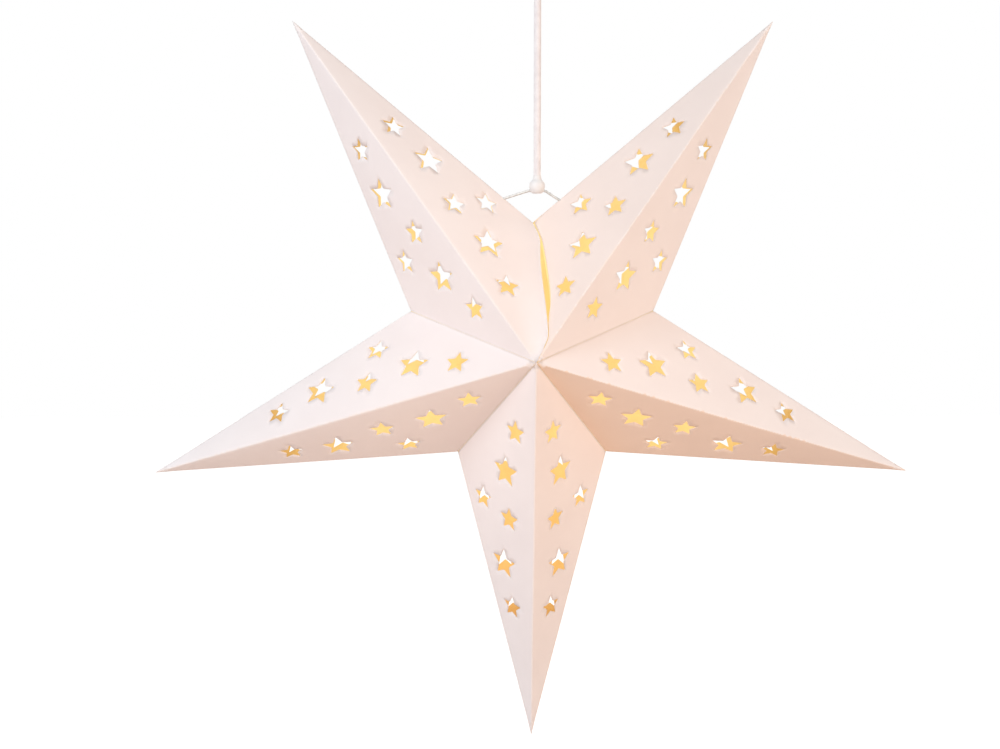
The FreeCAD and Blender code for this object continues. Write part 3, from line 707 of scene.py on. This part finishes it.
def card_outside():
    """White card, matt and slightly toothy: a pinkish white with a faint cloud, fibres that show
    as a fine bump, creases rubbed a little paler, the base colour darkened towards amber on some
    facets as painted glow and shade, and the light inside coming through painted on as a glow."""
    material, shader, add, link = new_material("card_outside", 0.8)
    place = add("TexCoord")
    cloud = add("TexNoise", Scale=22.0, Detail=4.0, Roughness=0.55)
    link(place.outputs["Object"], cloud.inputs["Vector"])
    plain = ramp(add, link, cloud.outputs["Fac"], [(0.3, (0.875, 0.815, 0.81)), (0.7, (0.905, 0.85, 0.845))])
    crease = add("Attribute", {"attribute_name": "crease"})
    rub = add("MapRange", From_Min=0.25, From_Max=1.1, To_Min=0.45, To_Max=0.0)
    link(crease.outputs["Fac"], rub.inputs["Value"])
    mixed = add("Mix", {"data_type": "RGBA"})
    link(rub.outputs["Result"], mixed.inputs["Factor"])
    link(plain, mixed.inputs["A"])
    mixed.inputs["B"].default_value = (0.93, 0.88, 0.87, 1)
    # Painted glow and shade: the base colour is darkened towards amber by each facet's painted tint.
    warm = add("Attribute", {"attribute_name": "warm"})
    painted_glow_shade_tint = add("Mix", {"data_type": "RGBA", "blend_type": "MULTIPLY"}, Factor=1.0)
    link(mixed.outputs["Result"], painted_glow_shade_tint.inputs["A"])
    link(ramp(add, link, warm.outputs["Fac"], [(0.0, (1.0, 1.0, 1.0)), (1.0, (0.95, 0.76, 0.60))]),
         painted_glow_shade_tint.inputs["B"])
    link(painted_glow_shade_tint.outputs["Result"], shader.inputs["Base Color"])

    fibre = add("TexNoise", Scale=1500.0, Detail=6.0, Roughness=0.75)
    tooth = add("TexVoronoi", {"feature": "SMOOTH_F1"}, Scale=1100.0, Smoothness=0.6)
    link(place.outputs["Object"], fibre.inputs["Vector"])
    link(place.outputs["Object"], tooth.inputs["Vector"])
    height = add("Math", {"operation": "ADD"})
    link(fibre.outputs["Fac"], height.inputs[0])
    link(tooth.outputs["Distance"], height.inputs[1])
    bump(add, link, shader, height.outputs["Value"], 0.00005, 0.4)
    uneven = add("MapRange", From_Min=0.3, From_Max=0.7, To_Min=0.72, To_Max=0.88)
    link(fibre.outputs["Fac"], uneven.inputs["Value"])
    link(uneven.outputs["Result"], shader.inputs["Roughness"])

    # Painted glow: the card's emission stands in for the lamps' light coming through it, brightest near the
    # star's middle and fading towards the tips.
    far = add("Attribute", {"attribute_name": "far"})
    through = ramp(add, link, far.outputs["Fac"],
                   [(0.0, (0.09, 0.038, 0.011)), (0.35, (0.08, 0.034, 0.010)),
                    (0.7, (0.045, 0.018, 0.005)), (1.0, (0.02, 0.008, 0.003))])
    link(through, shader.inputs["Emission Color"])
    shader.inputs["Emission Strength"].default_value = 1.0
    return material


def card_inside():
    """The same card from inside, its base colour a darker, browner copy of the outside's as painted
    shade, and the lamps' light on it painted on as a glow: yellow near the middle, darker and browner
    towards the tip and, as painted shade, more amber low in the bottom point, mottled a little by the
    card's fibres."""
    material, shader, add, link = new_material("card_inside", 0.85)
    place = add("TexCoord")
    cloud = add("TexNoise", Scale=40.0, Detail=5.0, Roughness=0.6)
    link(place.outputs["Object"], cloud.inputs["Vector"])
    # Painted shade: a darker, browner copy of the card's white, for the shade inside the star.
    link(ramp(add, link, cloud.outputs["Fac"], [(0.3, (0.46, 0.39, 0.28)), (0.7, (0.52, 0.45, 0.34))]),
         shader.inputs["Base Color"])
    # Painted light: the emission stands in for the lamps' light on the inside, falling off from the middle
    # to the tips.
    far = add("Attribute", {"attribute_name": "far"})
    lit = ramp(add, link, far.outputs["Fac"],
               [(0.0, (0.60, 0.38, 0.12)), (0.28, (0.62, 0.47, 0.19)), (0.5, (0.60, 0.46, 0.19)),
                (0.62, (0.50, 0.34, 0.12)), (0.74, (0.28, 0.15, 0.035)), (1.0, (0.10, 0.05, 0.01))])
    # Painted shade: below 0.34 m under the eye the painted glow turns darker and more amber.
    height = add("SeparateXYZ")
    link(place.outputs["Object"], height.inputs["Vector"])
    below = add("MapRange", From_Min=-0.34, From_Max=-0.42, To_Min=0.0, To_Max=1.0)
    link(height.outputs["Z"], below.inputs["Value"])
    amber = add("Mix", {"data_type": "RGBA", "blend_type": "MULTIPLY"})
    link(below.outputs["Result"], amber.inputs["Factor"])
    link(lit, amber.inputs["A"])
    amber.inputs["B"].default_value = (1.0, 0.80, 0.62, 1)
    shade = add("Mix", {"data_type": "RGBA", "blend_type": "MULTIPLY"}, Factor=1.0)
    link(amber.outputs["Result"], shade.inputs["A"])
    link(ramp(add, link, cloud.outputs["Fac"], [(0.3, (0.86, 0.84, 0.82)), (0.7, (1.0, 1.0, 1.0))]),
         shade.inputs["B"])
    link(shade.outputs["Result"], shader.inputs["Emission Color"])
    shader.inputs["Emission Strength"].default_value = 1.0
    return material


SHEETS = [
    # name, angle of its ridge, its body, the joint it folds with, its side at the open seam, and
    # the painted amber glow and shade on its facet clockwise from the ridge and the one on past it,
    # for the light inside coming through the card and the shade in its valleys
    ("upper_left", 126, "upper_left", "fold_upper_left", -1, (0.10, 0.0)),
    ("lower_left", 198, "lower_left", "fold_lower_left", 0, (0.0, 0.25)),
    ("bottom", 270, "star", "fold_lower_left", 0, (0.0, 0.15)),
    ("lower_right", 342, "lower_right", "fold_lower_right", 0, (1.0, 0.15)),
    ("upper_right", 54, "upper_right", "fold_upper_right", 1, (0.05, 0.45)),
]
MERGE = 3e-5
THINS_OVER = 12
THINNEST = 0.05
outside_card = card_outside()
inside_card = card_inside()

for number, (name, degrees, body, joint, seam_side, painted_glow_shades) in enumerate(SHEETS):
    angle = math.radians(degrees)
    points, faces, marks = sheet_surface(angle, np.random.default_rng(40 + number), seam_side, painted_glow_shades)
    sheet = new_piece("card_" + name, points, faces, smooth=False)
    for word, values in marks.items():
        sheet.data.attributes.new(word, "FLOAT", "POINT").data.foreach_set("value", values)
    mesh = bmesh.new()
    mesh.from_mesh(sheet.data)
    bmesh.ops.remove_doubles(mesh, verts=mesh.verts, dist=MERGE)
    mesh.to_mesh(sheet.data)
    mesh.free()
    sheet.data.polygons.foreach_set("use_smooth", np.ones(len(sheet.data.polygons), bool))
    weight = sheet.vertex_groups.new(name="card")
    reach = np.array([v.co for v in sheet.data.vertices]) - CENTRE
    ahead = reach[:, 0] * math.cos(angle) + reach[:, 2] * math.sin(angle)
    for index, left in enumerate(np.clip((TIP * MM - ahead) / (THINS_OVER * MM), THINNEST, 1)):
        weight.add([index], left, "REPLACE")
    sheet.data.materials.append(outside_card)
    sheet.data.materials.append(inside_card)
    thick = sheet.modifiers.new("card", "SOLIDIFY")
    thick.thickness = CARD * MM
    thick.offset = -1
    thick.vertex_group = "card"
    thick.material_offset = 1
    thick.material_offset_rim = 0
    applied(sheet)
    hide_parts("point_" + name)
    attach(sheet, body)
    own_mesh(sheet)

# ================================================================ the light string
# Two thin enamelled copper wires, twisted together and stiff enough to stay where they are bent.
# They rise from the coin-cell box, pass behind the star's centre and coil along its axis to the
# front. Each lamp is a drop of clear resin over a chip, set round the wires.

STRAND_RADIUS = 0.00032
TWIST_LENGTH = 0.006
LAMPS = 10
LAMP_HALF = 0.0032
LAMP_RADIUS = 0.0019
COIL_RADIUS = 7
COIL_BACK = 54
COIL_STEP = 12
FIRST_TURN = 30
LAMP_TURN = -90


def light_route():
    """The route's points from the box's gland to the front apex, with a turn of a quarter circle
    and a step forward for each lamp."""
    rise = [(0, 0, -94), (0, 0, -70), (-1, 13, -45), (1.5, 36, -24), (0, 58, -15), (-1, 74, -4), (0, 68, 8)]
    turn = np.radians(FIRST_TURN + LAMP_TURN * np.arange(LAMPS))
    ahead = COIL_BACK - COIL_STEP * np.arange(LAMPS)
    coil = np.c_[COIL_RADIUS * np.cos(turn), ahead, COIL_RADIUS * np.sin(turn)]
    return np.r_[np.array(rise, float), coil, [(0, -68, 0)]] * MM + CENTRE


def strand(line, start_angle):
    """A thin tube that winds round the line at its own radius, once in each twist length."""
    stops, places, left, up = along_line(line, 0.0004)
    turn = 2 * math.pi * stops / TWIST_LENGTH + start_angle
    wound = places + STRAND_RADIUS * (np.cos(turn)[:, None] * left + np.sin(turn)[:, None] * up)
    return tube(wound, STRAND_RADIUS, 8, 0.0005)


def lamp_drop(middle, heading):
    """A drop turned about the wire: its radius follows the square root of a sine, and its tail is
    drawn out a little."""
    share = np.linspace(0, 1, 22)
    radius = LAMP_RADIUS * np.sin(math.pi * share) ** 0.6 * (1.1 - 0.25 * share)
    line = middle + np.outer((share * 2 - 1) * LAMP_HALF, heading)
    reach = (share * 2 - 1) * LAMP_HALF
    return tube(line, lambda far, angle: np.interp(far - LAMP_HALF, reach, radius) + 0.00002, 20,
                2 * LAMP_HALF / 30)


def copper_material():
    """Copper under a clear enamel, a shade darker where it has been bent and rubbed."""
    material, shader, add, link = new_material("copper_wire", 0.3, 1.0)
    shader.inputs["Coat Weight"].default_value = 0.6
    shader.inputs["Coat Roughness"].default_value = 0.12
    place = add("TexCoord")
    patch = add("TexNoise", Scale=300.0, Detail=4.0, Roughness=0.6)
    link(place.outputs["Object"], patch.inputs["Vector"])
    link(ramp(add, link, patch.outputs["Fac"], [(0.35, (0.62, 0.30, 0.16)), (0.65, (0.86, 0.50, 0.30))]),
         shader.inputs["Base Color"])
    return material


def lamp_material():
    """Clear resin lit from its middle: nearly white at the thick part and amber at the ends."""
    material, shader, add, link = new_material("lamp_drop", 0.12)
    shader.inputs["Coat Weight"].default_value = 0.5
    place = add("TexCoord")
    swirl = add("TexNoise", Scale=700.0, Detail=2.0)
    link(place.outputs["Object"], swirl.inputs["Vector"])
    glow = ramp(add, link, swirl.outputs["Fac"], [(0.3, (1.0, 0.62, 0.24)), (0.6, (1.0, 0.86, 0.55))])
    link(glow, shader.inputs["Emission Color"])
    shader.inputs["Emission Strength"].default_value = 2.5
    link(ramp(add, link, swirl.outputs["Fac"], [(0.3, (0.95, 0.78, 0.5)), (0.7, (1.0, 0.88, 0.64))]),
         shader.inputs["Base Color"])
    return material


route = light_route()
light_line = route_line("light_route", route)
first_points, first_faces = strand(light_line, 0.0)
second_points, second_faces = strand(light_line, math.pi)
wires = new_piece("light_wires", np.r_[first_points, second_points],
                  first_faces + [tuple(i + len(first_points) for i in f) for f in second_faces])
wires.data.materials.append(copper_material())
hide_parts("light_wire")
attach(wires, "star")

lamp_finish = lamp_material()
for number, (start, end) in enumerate(zip(route[-LAMPS - 1:], route[-LAMPS:]), start=1):
    heading = (end - start) / np.linalg.norm(end - start)
    drop = new_piece(f"light_drop_{number:02d}", *lamp_drop((start + end) / 2, heading))
    drop.data.materials.append(lamp_finish)
    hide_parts(f"lamp_{number:02d}")
    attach(drop, "star")

# ================================================================ the coin-cell box
# A flat moulded box with a sliding cover and a slide switch, two steel coin cells and two
# nickel-plated contact strips. It hangs on the stiff wires inside the bottom point.


def dress(node, material):
    """Gives a CAD node its finish."""
    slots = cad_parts[node].data.materials
    slots.clear()
    slots.append(material)


box_moulding = moulded_material("box_moulding", (0.80, 0.80, 0.77), (0.88, 0.88, 0.85), 0.5)
slider_moulding = moulded_material("slider_moulding", (0.045, 0.045, 0.047), (0.07, 0.07, 0.072), 0.45)
cell_can = drawn_wire_material("cell_can", (0.68, 0.68, 0.67), (0.82, 0.82, 0.80), 0.22)
contact_metal = drawn_wire_material("contact_metal", (0.70, 0.67, 0.60), (0.82, 0.79, 0.72), 0.26)
for node, material in (("battery_box", box_moulding), ("battery_cover", box_moulding),
                       ("switch_slider", slider_moulding), ("cell_inner", cell_can),
                       ("cell_outer", cell_can), ("contact_negative", contact_metal),
                       ("contact_positive", contact_metal)):
    dress(node, material)

# ================================================================ the room and its light
# A plain white room: a pale floor well below the lantern, and large soft lamps at the upper
# left, the right and behind.

FLOOR_LEVEL = -1.25
FLOOR_HALF = 6
FLOOR_GLOW = 0.85


def floor_material():
    """Pale floor: plain diffuse for the light that it gives back, and white to the camera."""
    material, shader, add, link = new_material("floor", 0.9)
    shader.inputs["Base Color"].default_value = (0.84, 0.71, 0.65, 1)
    path = add("LightPath")
    seen = add("Math", {"operation": "MAXIMUM"})
    link(path.outputs["Is Camera Ray"], seen.inputs[0])
    link(path.outputs["Is Glossy Ray"], seen.inputs[1])
    either = add("Math", {"operation": "MAXIMUM"})
    link(seen.outputs["Value"], either.inputs[0])
    link(path.outputs["Is Transmission Ray"], either.inputs[1])
    shader.inputs["Emission Color"].default_value = (1, 1, 1, 1)
    scaled = add("Math", {"operation": "MULTIPLY"})
    link(either.outputs["Value"], scaled.inputs[0])
    scaled.inputs[1].default_value = FLOOR_GLOW
    link(scaled.outputs["Value"], shader.inputs["Emission Strength"])
    return material


def room_light(ambient):
    """The world: white where it is seen, mirrored or looked at through something, and a soft even
    light for the rest."""
    world = bpy.data.worlds.new("room")
    bpy.context.scene.world = world
    world.use_nodes = True
    tree = world.node_tree
    tree.nodes.clear()
    path = tree.nodes.new("ShaderNodeLightPath")
    output = tree.nodes.new("ShaderNodeOutputWorld")
    light = tree.nodes.new("ShaderNodeBackground")
    light.inputs["Color"].default_value = ambient
    white = tree.nodes.new("ShaderNodeBackground")
    mix = tree.nodes.new("ShaderNodeMixShader")
    seen = None
    white.inputs["Color"].default_value = (1, 1, 1, 1)
    for word in ("Is Camera Ray", "Is Glossy Ray", "Is Transmission Ray"):
        if seen is None:
            seen = path.outputs[word]
            continue
        either = tree.nodes.new("ShaderNodeMath")
        either.operation = "MAXIMUM"
        tree.links.new(seen, either.inputs[0])
        tree.links.new(path.outputs[word], either.inputs[1])
        seen = either.outputs["Value"]
    tree.links.new(seen, mix.inputs["Fac"])
    tree.links.new(light.outputs["Background"], mix.inputs[1])
    tree.links.new(white.outputs["Background"], mix.inputs[2])
    tree.links.new(mix.outputs["Shader"], output.inputs["Surface"])


def soft_lamp(name, place, wide, watts, colour):
    """A large square lamp that faces the star's centre."""
    lamp = bpy.data.objects.new(name, bpy.data.lights.new(name, "AREA"))
    lamp.data.size = wide
    lamp.data.energy = watts
    lamp.data.color = colour
    lamp.location = place
    lamp.rotation_euler = (Vector(CENTRE) - Vector(place)).to_track_quat("-Z", "Y").to_euler()
    bpy.context.scene.collection.objects.link(lamp)


floor_corners = [(x * FLOOR_HALF, y * FLOOR_HALF, FLOOR_LEVEL)
                 for x, y in ((-1, -1), (1, -1), (1, 1), (-1, 1))]
floor = new_piece("floor", floor_corners, [(0, 1, 2, 3)])
floor.data.materials.append(floor_material())
room_light((0.33, 0.33, 0.335, 1))
soft_lamp("upper_left_lamp", (-1.5, -1.7, 0.9), 1.3, 42, (0.89, 0.95, 1.0))
soft_lamp("right_lamp", (1.9, -1.3, 0.1), 1.2, 25, (1.0, 0.84, 0.70))
soft_lamp("back_lamp", (0.4, 2.0, 0.7), 1.4, 14, (1.0, 1.0, 1.0))

bpy.context.scene.view_settings.view_transform = "Standard"
